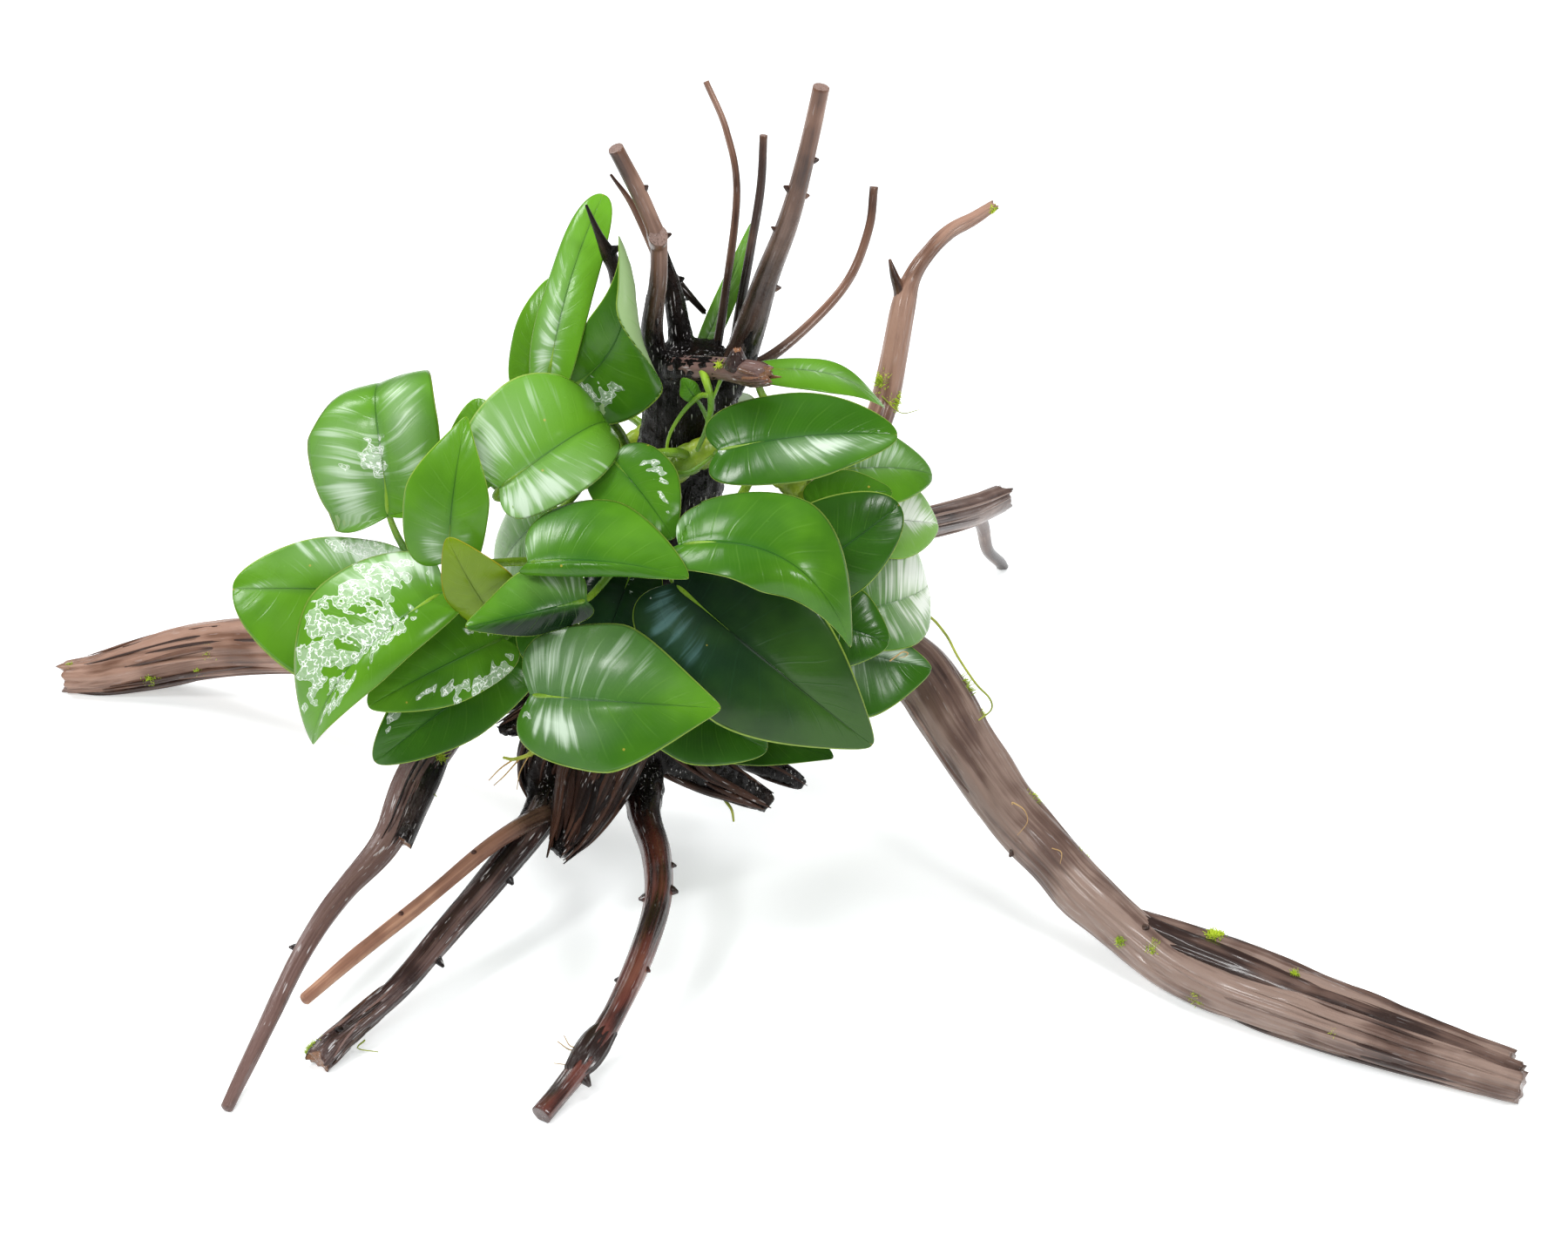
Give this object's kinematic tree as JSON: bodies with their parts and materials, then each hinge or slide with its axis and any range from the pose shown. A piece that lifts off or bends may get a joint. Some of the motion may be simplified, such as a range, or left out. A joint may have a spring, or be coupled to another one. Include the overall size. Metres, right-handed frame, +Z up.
{
  "type": "anubias on driftwood",
  "caption": "Broad-leaved aquatic plant with creeping rhizomes, growing on a branching piece of dark driftwood that stands on its own legs.",
  "frame": {"origin": "centre of the footprint's bounding box, on the surface that the wood's feet rest on", "axes": "+Z up; +X along the wood's longest reach, towards the end of the long right leg; -Y towards the viewer of the picture"},
  "size_m": [0.4684, 0.334, 0.2675],
  "materials": {
    "wood_dark": "wet, almost black",
    "wood_brown": "damp, bark streaked along its length",
    "wood_red": "wet, reddish",
    "rhizome": "smooth, damp",
    "leaf_green": "waxy, wet in places",
    "leaf_deep": "waxy, dark",
    "leaf_young": "waxy, young",
    "leaf_pale": "waxy, bright reflection"
  },
  "bodies": {
    "root": {"stump": "wood_dark", "left_branch": "wood_brown", "right_leg": "wood_brown", "back_right_branch": "wood_brown", "back_leg": "wood_brown", "front_left_leg": "wood_brown", "front_leg": "wood_brown", "thin_stick": "wood_red", "centre_leg": "wood_red", "broken_stub": "wood_brown", "left_shoot": "wood_brown", "inner_shoot": "wood_dark", "splinter_shoot": "wood_dark", "thin_shoot_left": "wood_brown", "thin_shoot_right": "wood_brown", "thick_shoot": "wood_brown", "bent_shoot": "wood_brown", "rhizome_upper": "rhizome", "rhizome_lower": "rhizome", "rhizome_back": "rhizome", "leaf_01": "leaf_green", "leaf_02": "leaf_green", "leaf_03": "leaf_green", "leaf_04": "leaf_green", "leaf_05": "leaf_green", "leaf_06": "leaf_green", "leaf_07": "leaf_green", "leaf_08": "leaf_green", "leaf_09": "leaf_green", "leaf_11": "leaf_green", "leaf_12": "leaf_green", "leaf_13": "leaf_green", "leaf_14": "leaf_green", "leaf_15": "leaf_young", "leaf_16": "leaf_green", "leaf_38": "leaf_green", "leaf_17": "leaf_green", "leaf_18": "leaf_deep", "leaf_19": "leaf_deep", "leaf_20": "leaf_green", "leaf_21": "leaf_green", "leaf_10": "leaf_green", "leaf_22": "leaf_green", "leaf_23": "leaf_green", "leaf_24": "leaf_green", "leaf_25": "leaf_pale", "leaf_26": "leaf_green", "leaf_27": "leaf_green", "leaf_28": "leaf_green", "leaf_29": "leaf_pale", "leaf_30": "leaf_green", "leaf_31": "leaf_green", "leaf_32": "leaf_green", "leaf_33": "leaf_green", "leaf_34": "leaf_green", "leaf_35": "leaf_green", "leaf_36": "leaf_green", "leaf_37": "leaf_green"}
  },
  "joints": []
}
